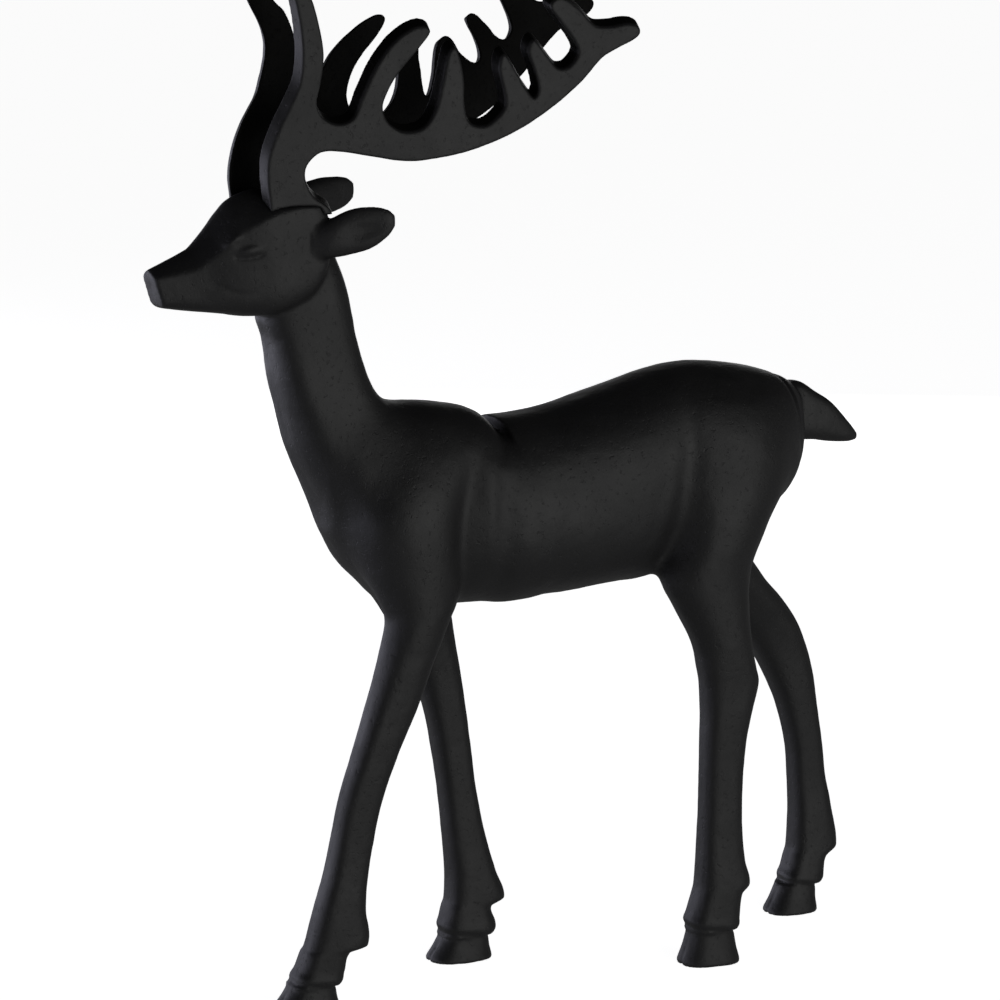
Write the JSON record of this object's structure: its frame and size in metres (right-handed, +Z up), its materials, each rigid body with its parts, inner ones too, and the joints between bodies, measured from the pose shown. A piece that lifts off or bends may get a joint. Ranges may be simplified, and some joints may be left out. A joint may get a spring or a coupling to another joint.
{
  "type": "cast iron stag statue",
  "caption": "Standing cast iron stag painted satin black, with a long raised neck and two flat plate antlers swept back over the neck.",
  "frame": {"origin": "middle of the whole statue's box, at the level of the four soles", "axes": "+Z up, the stag faces -Y, its left side is +X"},
  "size_m": [0.0946, 0.3651, 0.4711],
  "materials": {
    "black_iron_body": "satin black paint over sand-cast iron",
    "black_iron_antler": "satin black paint over sand-cast iron"
  },
  "bodies": {
    "root": {"stag_body": "black_iron_body", "left_antler": "black_iron_antler", "right_antler": "black_iron_antler"}
  },
  "joints": []
}
